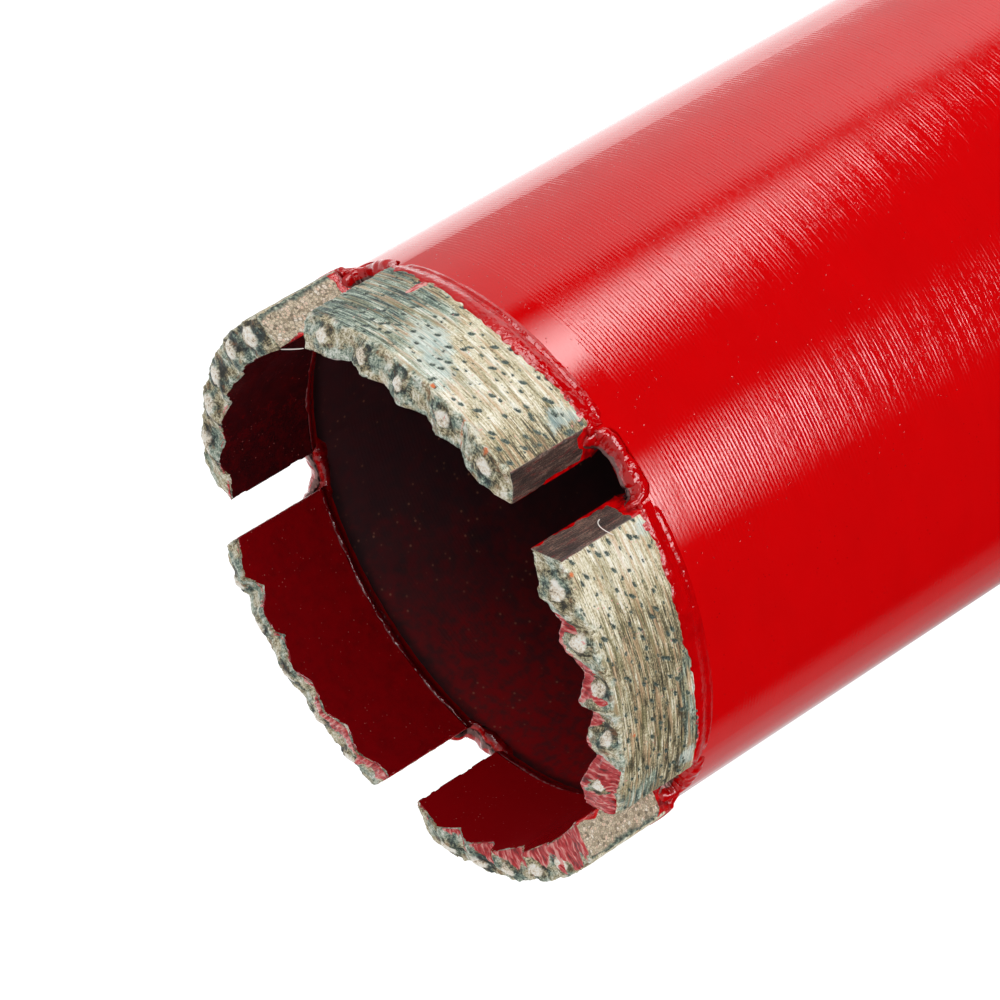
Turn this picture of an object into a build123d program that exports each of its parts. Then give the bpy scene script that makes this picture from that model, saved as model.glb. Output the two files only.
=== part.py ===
"""Wet diamond core bit: a thin steel barrel with five brazed diamond segments and a tapped hub.

It stands on its hub with the crown up. The origin is the centre of the hub's seating face and +Z points
to the crown. All sizes are in millimetres.
"""

import os

from build123d import *

# Crown: five pressed segments, pitched evenly round the rim
SEGMENT_COUNT = 5
CROWN_OUTER_R = 26.0  # 52 mm bit
CROWN_INNER_R = 22.8
SEGMENT_LENGTH = 24.0  # across the parallel ends
SEGMENT_BODY_HEIGHT = 8.8  # to the floor of the notches
FIRST_SEGMENT_ANGLE = 90.0  # a water slot then faces -Y

# Saw teeth pressed across each cutting face, with a ramp that lowers their tips towards the outer edge
TOOTH_COUNT = 5
TOOTH_PITCH = 4.4
TOOTH_FRONT = 1.1  # the leading side is steep
TOOTH_FLAT = 1.0
TIP_HEIGHT = 10.0
RAMP_START_R = 24.3
RAMP_EDGE_HEIGHT = 9.25  # at the outer edge

# Barrel: 2 inch tube
BARREL_R = 25.4
BARREL_WALL = 2.0
BARREL_LENGTH = 300.0
WATER_SLOT_DEPTH = 1.5
WATER_SLOT_CORNER_R = 1.3
SLOT_INNER_WIDTH = 4.2
SLOT_OUTER_WIDTH = 6.9
SLOT_MARGIN = 1.0  # the cutter runs past both faces of the wall

# Brazed joint under each segment
BRAZE_GAP = 0.25
BRAZE_FILLET = 0.9  # height of the fillet under the overhang
BRAZE_INSET = 0.1  # the solder stops short of the segment's edge

# Hub: one turned and milled piece, tapped 1 1/4 inch - 7 UNC
HEX_ACROSS_FLATS = 41.0
HEX_CORNER_R = 22.9  # the bar's corners are turned down to this
HEX_LENGTH = 27.0
HEX_CHAMFER = 2.2
NECK_R = 20.2
NECK_LENGTH = 3.0
FLANGE_THICKNESS = 8.0
FLANGE_CHAMFER = 1.0
SPIGOT_LENGTH = 8.0
THREAD_ROOT_R = 15.9
THREAD_LENGTH = 28.0
WATERWAY_R = 14.1  # the tapping drill's size, right through
MOUTH_CHAMFER = 1.4

# Weld between the flange and the barrel
WELD_GROOVE = 1.5  # chamfer on each side of the joint
WELD_CROWN = 0.2

FLANGE_BASE = HEX_LENGTH + NECK_LENGTH
BARREL_BASE = FLANGE_BASE + FLANGE_THICKNESS
BARREL_TOP = BARREL_BASE + BARREL_LENGTH
BARREL_INNER_R = BARREL_R - BARREL_WALL
SEGMENT_BASE = BARREL_TOP + BRAZE_GAP
SEGMENT_STEP = 360.0 / SEGMENT_COUNT


def turned(points):
    """A full turn about Z of a closed outline of (radius, height) points."""
    outline = Plane.XZ * make_face(Polyline(*points, close=True))
    return revolve(outline, Axis.Z)


def barrel_with_slots():
    """The tube, chamfered for the weld, with a water slot between each two segments."""
    tube = turned([
        (BARREL_INNER_R, BARREL_BASE),
        (BARREL_R - WELD_GROOVE, BARREL_BASE),
        (BARREL_R, BARREL_BASE + WELD_GROOVE),
        (BARREL_R, BARREL_TOP),
        (BARREL_INNER_R, BARREL_TOP),
    ])
    for index in range(SEGMENT_COUNT):
        angle = FIRST_SEGMENT_ANGLE + (index + 0.5) * SEGMENT_STEP
        tube -= Rot(0, 0, angle) * water_slot_cutter()
    return tube


def water_slot_cutter():
    """A round-cornered slot along +X that flares outwards as its sides follow the segments' parallel ends."""
    def section(radius, width):
        plane = Plane((radius, 0, BARREL_TOP), x_dir=(0, 1, 0), z_dir=(1, 0, 0))
        return plane * RectangleRounded(width, 2 * WATER_SLOT_DEPTH, WATER_SLOT_CORNER_R)

    flare = (SLOT_OUTER_WIDTH - SLOT_INNER_WIDTH) / BARREL_WALL * SLOT_MARGIN
    inner = section(BARREL_INNER_R - SLOT_MARGIN, SLOT_INNER_WIDTH - flare)
    outer = section(BARREL_R + SLOT_MARGIN, SLOT_OUTER_WIDTH + flare)
    return loft([inner, outer], ruled=True)


def saw_outline():
    """A segment seen square to its length: a flat foot and a row of saw teeth, all leaning the same way."""
    end = SEGMENT_LENGTH / 2
    points = [(end, SEGMENT_BODY_HEIGHT), (end, 0), (-end, 0), (-end, SEGMENT_BODY_HEIGHT)]
    for index in range(TOOTH_COUNT):
        front = (index - TOOTH_COUNT / 2) * TOOTH_PITCH
        points += [
            (front, SEGMENT_BODY_HEIGHT),
            (front + TOOTH_FRONT, TIP_HEIGHT),
            (front + TOOTH_FRONT + TOOTH_FLAT, TIP_HEIGHT),
        ]
    points.append((TOOTH_COUNT / 2 * TOOTH_PITCH, SEGMENT_BODY_HEIGHT))
    return make_face(Polyline(*points, close=True))


def diamond_segment():
    """A pressed segment: parallel ends, faces that follow the ring, saw teeth and the ramp over their tips."""
    ramp_slope = (TIP_HEIGHT - RAMP_EDGE_HEIGHT) / (CROWN_OUTER_R - RAMP_START_R)
    ring = turned([
        (CROWN_INNER_R, 0),
        (CROWN_OUTER_R, 0),
        (CROWN_OUTER_R, RAMP_EDGE_HEIGHT),
        (CROWN_INNER_R, RAMP_EDGE_HEIGHT + ramp_slope * (CROWN_OUTER_R - CROWN_INNER_R)),
    ])
    toothed_bar = extrude(Plane.XZ * saw_outline(), -CROWN_OUTER_R)
    return Pos(0, 0, SEGMENT_BASE) * (toothed_bar & ring)


def braze_seam():
    """Solder between the rim and a segment, with a fillet under each overhang."""
    outer = CROWN_OUTER_R - BRAZE_INSET
    inner = CROWN_INNER_R + BRAZE_INSET
    ring = turned([
        (inner, SEGMENT_BASE),
        (outer, SEGMENT_BASE),
        (BARREL_R, BARREL_TOP - BRAZE_FILLET),
        (BARREL_R, BARREL_TOP),
        (BARREL_INNER_R, BARREL_TOP),
        (BARREL_INNER_R, BARREL_TOP - BRAZE_FILLET),
    ])
    strip = Pos(0, outer / 2) * Rectangle(SEGMENT_LENGTH, outer)
    return ring & extrude(strip, SEGMENT_BASE)


def placed(shape, index):
    """The shape turned from +Y to the place of one of the segments."""
    return Rot(0, 0, FIRST_SEGMENT_ANGLE - 90.0 + index * SEGMENT_STEP) * shape


def weld_bead():
    """The bead that fills the groove between flange and barrel, slightly crowned."""
    low = (BARREL_R, BARREL_BASE - WELD_GROOVE)
    root = (BARREL_R - WELD_GROOVE, BARREL_BASE)
    high = (BARREL_R, BARREL_BASE + WELD_GROOVE)
    crown = (BARREL_R + WELD_CROWN, BARREL_BASE)
    outline = Polyline(high, root, low) + ThreePointArc(low, crown, high)
    return revolve(Plane.XZ * make_face(outline), Axis.Z)


def hub():
    """Hexagon, neck, flange and spigot in one piece, bored and chamfered for the spindle thread."""
    bar = extrude(RegularPolygon(HEX_ACROSS_FLATS / 2, 6, major_radius=False), HEX_LENGTH)
    corner_r = HEX_CORNER_R
    turned_bar = turned([
        (0, 0),
        (corner_r - HEX_CHAMFER, 0),
        (corner_r, HEX_CHAMFER / 2),
        (corner_r, HEX_LENGTH - HEX_CHAMFER / 2),
        (corner_r - HEX_CHAMFER, HEX_LENGTH),
        (0, HEX_LENGTH),
    ])
    upper = turned([
        (0, HEX_LENGTH),
        (NECK_R, HEX_LENGTH),
        (NECK_R, FLANGE_BASE),
        (BARREL_R - FLANGE_CHAMFER, FLANGE_BASE),
        (BARREL_R, FLANGE_BASE + FLANGE_CHAMFER),
        (BARREL_R, BARREL_BASE - WELD_GROOVE),
        (BARREL_R - WELD_GROOVE, BARREL_BASE),
        (BARREL_INNER_R, BARREL_BASE),
        (BARREL_INNER_R, BARREL_BASE + SPIGOT_LENGTH),
        (0, BARREL_BASE + SPIGOT_LENGTH),
    ])
    return (bar & turned_bar) + upper - hub_bore()


def hub_bore():
    """The tapped hole, cut to the root of its thread, and the water way above it."""
    top = BARREL_BASE + SPIGOT_LENGTH
    return turned([
        (0, 0),
        (THREAD_ROOT_R + MOUTH_CHAMFER, 0),
        (THREAD_ROOT_R, MOUTH_CHAMFER),
        (THREAD_ROOT_R, THREAD_LENGTH),
        (WATERWAY_R, THREAD_LENGTH),
        (WATERWAY_R, top),
        (0, top),
    ])


def write(shape, node):
    shape.label = node
    export_step(shape, f"parts/{node}.step")


os.makedirs("parts", exist_ok=True)
write(barrel_with_slots(), "barrel")
write(weld_bead(), "weld_bead")
write(hub(), "hub")
segment = diamond_segment()
seam = braze_seam()
for number in range(SEGMENT_COUNT):
    write(placed(segment, number), f"segment_{number + 1}")
    write(placed(seam, number), f"braze_seam_{number + 1}")
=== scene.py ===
import math

import bpy
import numpy as np
from mathutils import Matrix, Vector


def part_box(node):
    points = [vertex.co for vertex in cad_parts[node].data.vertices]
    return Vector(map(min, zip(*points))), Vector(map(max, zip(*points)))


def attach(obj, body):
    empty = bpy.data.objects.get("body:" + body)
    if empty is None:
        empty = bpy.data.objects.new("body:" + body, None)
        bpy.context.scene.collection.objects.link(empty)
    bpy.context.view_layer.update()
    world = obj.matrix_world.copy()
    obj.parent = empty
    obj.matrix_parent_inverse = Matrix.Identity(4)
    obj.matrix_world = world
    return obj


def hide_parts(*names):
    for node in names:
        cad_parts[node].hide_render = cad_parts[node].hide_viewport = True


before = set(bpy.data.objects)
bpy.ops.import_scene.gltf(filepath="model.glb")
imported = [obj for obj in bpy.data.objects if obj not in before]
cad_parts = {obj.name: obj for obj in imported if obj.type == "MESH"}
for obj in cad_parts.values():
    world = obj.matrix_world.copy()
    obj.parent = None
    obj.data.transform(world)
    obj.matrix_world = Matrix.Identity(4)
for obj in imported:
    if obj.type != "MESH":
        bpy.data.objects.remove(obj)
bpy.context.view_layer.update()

# Sizes, in millimetres, read from the frame where it holds them
MM = 0.001
SEGMENTS = ["segment_1", "segment_2", "segment_3", "segment_4", "segment_5"]
SEAMS = [name.replace("segment", "braze_seam") for name in SEGMENTS]
PITCH_ANGLE = 2 * math.pi / len(SEGMENTS)
FIRST_ANGLE = math.pi / 2  # segment_1 points to +Y

low, high = (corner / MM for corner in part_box("segment_1"))
SEGMENT_LENGTH = high.x - low.x
SEGMENT_BASE = low.z
CROWN_R = high.y
CORE_R = math.hypot(low.y, SEGMENT_LENGTH / 2)
WALL = CROWN_R - CORE_R

low, high = (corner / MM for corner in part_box("barrel"))
BARREL_R = high.x
BARREL_FOOT = low.z
BARREL_RIM = high.z

HUB_HEX_TOP = 27.0
HEX_CORNER_R = 22.9
THREAD_ROOT_R = 15.9
THREAD_CREST_R = 14.1
THREAD_LENGTH = 28.0
THREAD_PITCH = 25.4 / 7
WELD_HALF_WIDTH = 1.5
WELD_CROWN = 0.2

LATTICE = 0.12  # spacing of the points on a segment's skin

# Seeds of the grain, to which a piece adds its number
SEGMENT_SEED = 100
RIDGE_SEED = 200
LIP_SEED = 240
BEAD_SEED = 270
WELD_SEED = 290
PIT_SEED = 300


# ---------------------------------------------------------------- seeded grain

class Grain:
    """Smooth seeded noise in three dimensions, between -1 and 1."""

    SIZE = 48

    def __init__(self, seed):
        shape = (self.SIZE, self.SIZE, self.SIZE)
        self.table = np.random.default_rng(seed).uniform(-1, 1, shape)

    def at(self, points, pitch):
        """Noise at points, whose lumps are pitch across. pitch is a number or one for each axis."""
        scaled = points / np.asarray(pitch, float)
        cell = np.floor(scaled).astype(int)
        part = scaled - cell
        part = part * part * (3 - 2 * part)
        total = np.zeros(len(points))
        for corner in np.ndindex(2, 2, 2):
            weight = np.prod(np.where(corner, part, 1 - part), axis=1)
            spot = (cell + corner) % self.SIZE
            total += weight * self.table[spot[:, 0], spot[:, 1], spot[:, 2]]
        return total

    def rough(self, points, pitch, octaves=3):
        """The sum of ever finer noise, each half as strong as the one before."""
        pitch = np.asarray(pitch, float)
        return sum(self.at(points + 7.3 * n, pitch / 2**n) / 2**n for n in range(octaves))


def ease(low_edge, high_edge, values):
    """0 below low_edge, 1 above high_edge, and smooth between them."""
    part = np.clip((values - low_edge) / (high_edge - low_edge), 0, 1)
    return part * part * (3 - 2 * part)


def scattered(points, pitch, seed):
    """Distance to the nearest of a jittered grid of drops, and that drop's own random number.

    A drop leans by its number, and its tail is longer than its head, so the distance grows slower there.
    """
    repeat = 40  # drops along each side, after which they come again
    random = np.random.default_rng(seed).uniform(0, 1, (repeat, repeat, 3))
    cell = np.floor(points / pitch).astype(int)
    best = np.full(len(points), 1e9)
    number = np.zeros(len(points))
    for step in np.ndindex(3, 3):
        near = cell + np.array(step) - 1
        spot = random[near[:, 0] % repeat, near[:, 1] % repeat]
        forward, up = (points - (near + spot[:, :2]) * pitch).T
        lean = 1.6 * spot[:, 2] - 0.8
        forward, up = forward * np.cos(lean) + up * np.sin(lean), up * np.cos(lean) - forward * np.sin(lean)
        distance = np.hypot(forward * np.where(forward > 0, 0.45, 1.0), up * 1.2)
        number = np.where(distance < best, spot[:, 2], number)
        best = np.minimum(distance, best)
    return best, number


# ---------------------------------------------------------------- mesh helpers

def block_skin(counts):
    """Points on the skin of a block of cells, and the quads between them, facing outward."""
    index = np.full([n + 1 for n in counts], -1)
    places = np.indices(index.shape)
    last = np.array(counts).reshape(3, 1, 1, 1)
    skin = ((places == 0) | (places == last)).any(axis=0)
    index[skin] = np.arange(skin.sum())
    quads = []
    for axis in range(3):
        for side in (0, -1):
            sheet = np.take(index, side, axis)
            ring = [sheet[:-1, :-1], sheet[1:, :-1], sheet[1:, 1:], sheet[:-1, 1:]]
            if (side == 0) != (axis == 1):
                ring.reverse()
            quads.append(np.stack(ring, axis=-1).reshape(-1, 4))
    return places[:, skin].T, np.concatenate(quads)


def gathered(quads, values, count):
    """Adds each quad's value to its four points."""
    return np.stack([
        np.bincount(quads.ravel(), np.repeat(values[:, axis], 4), count) for axis in range(3)
    ], axis=1)


def point_normals(points, quads):
    """Unit normal at each point of a mesh of quads."""
    one, two, three, four = (points[quads[:, n]] for n in range(4))
    total = gathered(quads, np.cross(three - one, four - two), len(points))
    return total / np.maximum(np.linalg.norm(total, axis=1, keepdims=True), 1e-12)


def softened(points, quads, weight, turns):
    """Rounds edges: each turn moves a point by its weight to the middle of the quads around it."""
    faces_at = np.bincount(quads.ravel(), minlength=len(points))[:, None]
    for _ in range(turns):
        middles = points[quads].mean(axis=1)
        points = points + weight[:, None] * (gathered(quads, middles, len(points)) / faces_at - points)
    return points


def piece(name, points, quads, material, marks=None):
    """A mesh piece that rides on the bit. points are in millimetres, marks are values kept at its points."""
    mesh = bpy.data.meshes.new(name)
    mesh.from_pydata((points * MM).tolist(), [], quads.tolist())
    mesh.shade_smooth()
    for mark, values in (marks or {}).items():
        kind = "FLOAT_VECTOR" if values.ndim == 2 else "FLOAT"
        attribute = mesh.attributes.new(mark, kind, "POINT")
        key = "vector" if values.ndim == 2 else "value"
        attribute.data.foreach_set(key, values.astype(np.float32).ravel())
    mesh.materials.append(material)
    made = bpy.data.objects.new(name, mesh)
    bpy.context.scene.collection.objects.link(made)
    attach(made, "root")
    return made


def round_axis(along, radius, height, angle):
    """Points given as along a segment, radius and height over its foot, turned to the segment's place."""
    outward = np.sqrt(np.maximum(radius**2 - along**2, 0))
    return np.stack([
        outward * math.cos(angle) - along * math.sin(angle),
        outward * math.sin(angle) + along * math.cos(angle),
        height + SEGMENT_BASE,
    ], axis=1)


# ---------------------------------------------------------------- diamond segments

# Each segment as it has worn. Places are (along, height) in millimetres, along from its middle.
# edge: the inner edge's outline, tips and roots in turn. worn: where its teeth are rubbed bright, and
# flats: how large those patches are.
# paint: how far red runs over the inner edge, along it. rubbed: the end that is rubbed smooth and brown.
# And a number for the painted shade on its inner face: how dark that face is.
# grime, cool, coat, smear and rust are spots with their half lengths and half heights.
WEAR = {
    "segment_1": {
        "edge": [(-12, 9.3), (-8.8, 10), (-7.5, 8.6), (-5.3, 9.7), (-3.6, 9.6), (-3, 9), (0, 9.8),
                 (2, 8.8), (4.4, 9.6), (6.4, 8.7), (8.8, 9.6), (10.6, 8.8), (12, 8.9)],
        "worn": [-8.9, -4.6, 0.1, 4.6, 9.0], "flats": 1.0, "rubbed": 0, "soot": 0.25,
        "paint": [(-12, 0.2), (2, 0.3), (6, 0.6), (12, 0.7)],
        "grime": [(-5, 4, 8, 4), (8, 7, 5, 3)], "cool": [(-4, 6, 6, 4), (8, 2, 4, 3)],
        "coat": [(8, 3, 2, 1.2)], "smear": [], "rust": [(3.5, 7.8)],
    },
    "segment_2": {
        "edge": [(-12, 8.9), (-8.6, 9.9), (-6.9, 8.8), (-4.9, 10), (-2.5, 8.7), (-1.2, 9.9),
                 (1.8, 8.6), (3.2, 9.7), (5.8, 8.6), (7.6, 9.7), (9.9, 8.8), (12, 8.9)],
        "worn": [-8.7, -4.6, -0.6, 3.6, 8.0], "flats": 1.0, "rubbed": 0, "soot": 0.0,
        "paint": [(-12, 0.35), (-7, 0.5), (-4, 1.1), (12, 1.4)],
        "grime": [(1, 6, 9, 4), (-9, 3, 4, 4)], "cool": [(-2, 4, 6, 4)],
        "coat": [(-4, 2.5, 1.6, 1)], "smear": [], "rust": [(6, 8.2)],
    },
    "segment_3": {
        "edge": [(-12, 8.9), (-8.6, 10), (-6.6, 8.5), (-4.4, 9.6), (-2.1, 8.5), (-0.4, 9.9),
                 (1.4, 8.6), (5.1, 10), (6.4, 9.1), (8.8, 10), (11, 9.0), (12, 8.9)],
        "worn": [-8.3, -3.7, 0.9, 5.3, 9.7], "flats": 1.0, "rubbed": 1, "soot": 0.3,
        "paint": [(-12, 1.4), (5.5, 1.3), (8, 0.2), (12, 0.0)],
        "grime": [(1.5, 4.5, 6.5, 8), (-8, 4, 8, 7)], "cool": [(-5, 0.4, 8, 1.6), (-11, 7, 3, 2.5)],
        "coat": [(11.0, 1.0, 0.8, 0.7), (-9.8, 1.6, 1.3, 0.9)], "smear": [], "rust": [(10.8, 8.4), (-4, 7.2)],
    },
    "segment_4": {
        "edge": [(-12, 8.2), (-9.9, 9.4), (-8.1, 9.6), (-6.9, 8.8), (-4.6, 9.6), (-2.7, 9.0),
                 (-0.6, 10), (2, 9.2), (4, 9.9), (6.2, 9.0), (8.6, 9.7), (11.6, 9.1), (12, 8.9)],
        "worn": [-9.8, -5.0, -0.1, 4.4, 9.3], "flats": 1.0, "rubbed": -1, "soot": 0.4,
        "paint": [(-12, 0.0), (12, 0.0)],
        "grime": [(10.5, 5, 9, 11), (-12.5, 5, 4, 9)], "cool": [(9, 5, 10, 9), (-1, 7, 3, 3)],
        "coat": [(0.9, 5.4, 2.3, 1.6), (-1.4, 6.7, 1.8, 0.8), (-10.4, 2.0, 1.1, 1.5)],
        "smear": [(7.0, 1.4, 0.4, 1.1)], "rust": [(-3.0, 8.5), (-6.8, 8.7), (-9.6, 8.9)],
    },
    "segment_5": {
        "edge": [(-12, 9.1), (-9.9, 9.8), (-8, 9.2), (-6, 9.9), (-3.8, 9.0), (-1.2, 9.9),
                 (1.1, 8.9), (3.1, 9.8), (5.6, 8.9), (7.6, 9.8), (10, 8.8), (12, 8.9)],
        "worn": [-9.9, -6.0, -1.2, 3.1, 7.6], "flats": 1.4, "rubbed": 0, "soot": 0.85,
        "paint": [(-12, 0.05), (12, 0.2)],
        "grime": [(0, 4, 20, 12)], "cool": [(0, 4, 20, 12)],
        "coat": [(-6, 4, 1.5, 1.2)], "smear": [], "rust": [(-2, 8)],
    },
}
NOTCH_FLOOR = 8.75
OUTER_RELIEF = 0.35  # share of a tooth's height left at the outer edge
WORN_R = 24.7  # the rubbed patches' own circle
WORN_HALF_LENGTH = 0.75
WORN_HALF_WIDTH = 0.7
RUST_SIZE = 0.22
EDGE_SOFT = 0.7  # width of the rounding along the outer shoulder
BRINK_SOFT = 0.3  # and along the other edges
SOFTENING_TURNS = 12
PIT_SPACING = 1.0


def tooth_height(along, across, wear, grain):
    """Height of the toothed face. across runs from 0 at the inner edge to 1 at the outer one."""
    flat = np.stack([along, across * WALL, np.zeros_like(along)], axis=1)
    shifted = along + 0.35 * grain.at(flat, 1.3) * ease(0.05, 0.5, across)
    edge = np.array(wear["edge"])
    relief = np.interp(shifted, edge[:, 0], edge[:, 1]) - NOTCH_FLOOR
    share = 1 + (OUTER_RELIEF - 1) * ease(0.45, 1.0, across)
    return NOTCH_FLOOR + relief * share


def nearness(along, other, spots, roughness):
    """How deep each point lies in the nearest of several oval spots: 1 in a middle, less than 0 outside."""
    best = np.full_like(along, -9.0)
    for place, level, half_length, half_width in spots:
        best = np.maximum(best, 1 - np.hypot((along - place) / half_length, (other - level) / half_width))
    return best + roughness


def tooth_marks(along, radius, flat, wear, grain):
    """The rubbed patch on each tooth, and the dark broken ground round it."""
    half_length, half_width = WORN_HALF_LENGTH * wear["flats"], WORN_HALF_WIDTH * wear["flats"]
    spots = [(place, WORN_R, half_length, half_width) for place in wear["worn"]]
    near = nearness(along, radius, spots, 0.3 * grain.rough(flat, 0.45, 2))
    worn = ease(0.0, 0.3, near)
    round_it = ease(-1.3, -0.5, near) * (1 - worn)
    dug = ease(-0.1, 0.5, grain.rough(flat + 5, (0.8, 1.1, 1), 2))
    return worn, round_it * (0.35 + 0.65 * dug)


def face_marks(along, height, flat, wear, grain):
    """Spots of grime, mineral coat, paint and rust on the ground face."""
    soft = 0.5 * grain.rough(flat, (2.4, 9, 1.0))
    sharp = 0.35 * grain.rough(flat + 4, (1.2, 9, 0.8))
    rust = [(place, level, RUST_SIZE, RUST_SIZE) for place, level in wear["rust"]]
    return {
        "grime": ease(-0.2, 0.7, nearness(along, height, wear["grime"], 0.5 * soft)),
        "cool": ease(-0.2, 0.7, nearness(along, height, wear["cool"], soft)),
        "coat": ease(-0.4, 0.6, nearness(along, height, wear["coat"], sharp)),
        "smear": ease(0.0, 0.3, nearness(along, height, wear["smear"], sharp)),
        "rust": ease(0.0, 0.4, nearness(along, height, rust, sharp)),
    }


def segment_piece(number, name, material):
    wear = WEAR[name]
    grain = Grain(SEGMENT_SEED + number)
    counts = [round(WALL / LATTICE), round(SEGMENT_LENGTH / LATTICE), round(NOTCH_FLOOR / LATTICE)]
    places, quads = block_skin(counts)
    across, part, lift = (places / counts).T
    along = (part - 0.5) * SEGMENT_LENGTH
    top = tooth_height(along, across, wear, grain)
    radius = CORE_R + across * WALL
    height = lift * top
    flat = np.stack([along, radius, height], axis=1)

    on_base, on_top = lift == 0, lift == 1
    on_outer, on_inner = across == 1, across == 0
    on_end = ((part == 0) | (part == 1)) & ~on_top
    from_outer, from_inner = CROWN_R - radius, radius - CORE_R
    from_top = top - height
    from_end = SEGMENT_LENGTH / 2 - np.abs(along)
    shoulder = 1 - ease(0, EDGE_SOFT, np.maximum(from_outer, from_top))
    brink = 1 - ease(0, BRINK_SOFT, np.minimum.reduce([
        np.maximum(from_inner, from_top), np.maximum(from_end, from_top),
        np.maximum(from_end, from_outer), np.maximum(from_end, from_inner)]))
    points = np.stack([radius, along, height], axis=1)
    soft = np.clip(shoulder * (0.9 + 0.4 * grain.at(flat, 1.1)) + 0.45 * brink, 0, 0.9) * ~on_base
    points = softened(points, quads, soft, SOFTENING_TURNS)

    # What each place on the skin has been through
    worn, hollow = (mark * on_top for mark in tooth_marks(along, radius, flat, wear, grain))
    ground = on_outer * ease(0.15, 0.6, from_top + 0.35 * grain.rough(flat, 0.9))
    reach = np.interp(along, *np.array(wear["paint"]).T) * (1.4 + 1.3 * grain.rough(flat, (1.2, 9.0, 9.0)))
    notch = ease(0.1, 0.7, 9.9 - top)
    over_edge = on_top * ease(-0.05, 0.7, reach * (0.35 + notch) - from_inner)
    bare_rim = 0.16 + 0.22 * grain.rough(flat, 0.8)
    inside = on_inner * ease(0, 0.1, from_top - bare_rim)
    end_foot = (1.3 + 0.5 * grain.rough(flat, 1.2)) - height
    end_edge = (0.35 + 0.3 * grain.rough(flat + 6, 1.0)) - from_inner
    end_paint = on_end * ease(-0.1, 0.1, np.maximum(end_foot, end_edge))
    face_foot = on_outer * ease(-0.1, 0.1, 0.5 + 0.35 * grain.rough(flat + 8, 0.9) - height)
    lacquer = np.maximum.reduce([over_edge, inside, end_paint, face_foot])
    rubbed = on_end * (np.sign(along) == wear["rubbed"])
    near_skin = np.minimum(from_outer, height - 0.4) + 0.2 * grain.rough(flat + 5, 0.6)
    skirt = on_end * (1 - rubbed) * (1 - ease(0.25, 0.55, near_skin))

    # Relief, in millimetres out of the surface
    scratch = 0.03 * grain.at(flat, (5, 9, 0.22)) + 0.02 * grain.at(flat + 3, (2.5, 9, 0.13))
    gouge = -0.07 * ease(0.45, 0.8, grain.at(flat + 11, (4, 9, 0.3)))
    pit_gap, pit_size = scattered(flat[:, [0, 2]], PIT_SPACING, PIT_SEED + number)
    pit = 1 - ease(0.5, 1.3, (pit_gap + 0.08 * grain.at(flat, 0.3)) / (0.03 + 0.19 * pit_size))
    pit = pit * ground
    lumps = 0.13 * grain.at(flat, 0.9) + 0.09 * grain.at(flat, 0.42) + 0.05 * grain.at(flat, 0.2)
    ribs = 0.05 * grain.at(flat, (0.25, 3, 3)) * (1 - ease(0.6, 1.8, from_inner))
    crumbs = 0.04 * grain.at(flat, 0.5) + 0.035 * grain.at(flat, 0.2)
    chips = -0.28 * ease(0.25, 0.8, grain.rough(flat + 2, 0.8)) * np.maximum(brink, 0.7 * shoulder)
    relief = (
        ground * (scratch + gouge) - 0.1 * pit
        + (on_outer & ~on_top) * (1 - ground) * lumps
        + on_top * (1 - worn) * (lumps + ribs) - 0.16 * hollow
        + on_end * (1 - lacquer) * (1 - 0.8 * rubbed) * crumbs
        + (on_inner & ~on_top) * (1 - inside) * 0.6 * crumbs
        + inside * 0.012 * grain.at(flat, 1.4)
        + chips * (1 - 0.6 * lacquer)
    ) * ~on_base
    points = points + point_normals(points, quads) * relief[:, None]

    marks = {
        "place": flat, "ground": ground, "pit": pit, "worn": worn, "hollow": hollow, "lacquer": lacquer,
        "cut_end": on_end.astype(float), "skirt": skirt, "rubbed": rubbed.astype(float),
        "inner": (on_inner & ~on_top).astype(float), "soot": np.full(len(flat), wear["soot"]),
        **face_marks(along, height, flat, wear, grain),
    }
    angle = FIRST_ANGLE + number * PITCH_ANGLE
    points = round_axis(points[:, 1], points[:, 0], points[:, 2], angle)
    made = piece("dressed_" + name, points, quads, material, marks)
    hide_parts(name)
    return made


# ---------------------------------------------------------------- solder and paint round the joints

SLOT_SINK = 1.2  # how far under the segments' feet the lumps round a slot run
SLOT_REACH = 3.2  # from a slot's middle to the middle of the lump on its side
SLOT_CORNER = 1.3
LIP_TOP = 0.9
RIDGE_FOOT = 1.8  # how far the painted solder runs down the barrel
RIDGE_LEVELS = [-1.8, -1.5, -1.2, -0.9, -0.6, -0.3, 0.0, 0.2]
RIDGE_RISE = [-0.12, 0.05, 0.2, 0.12, 0.3, 0.5, 0.64, 0.68]  # off the barrel at those levels
RIDGE_SINK = 0.12  # how deep the ridge is rooted in the barrel
LIP_SINK = 1.05  # how far inside the barrel's skin the middle of a lip lies


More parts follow.
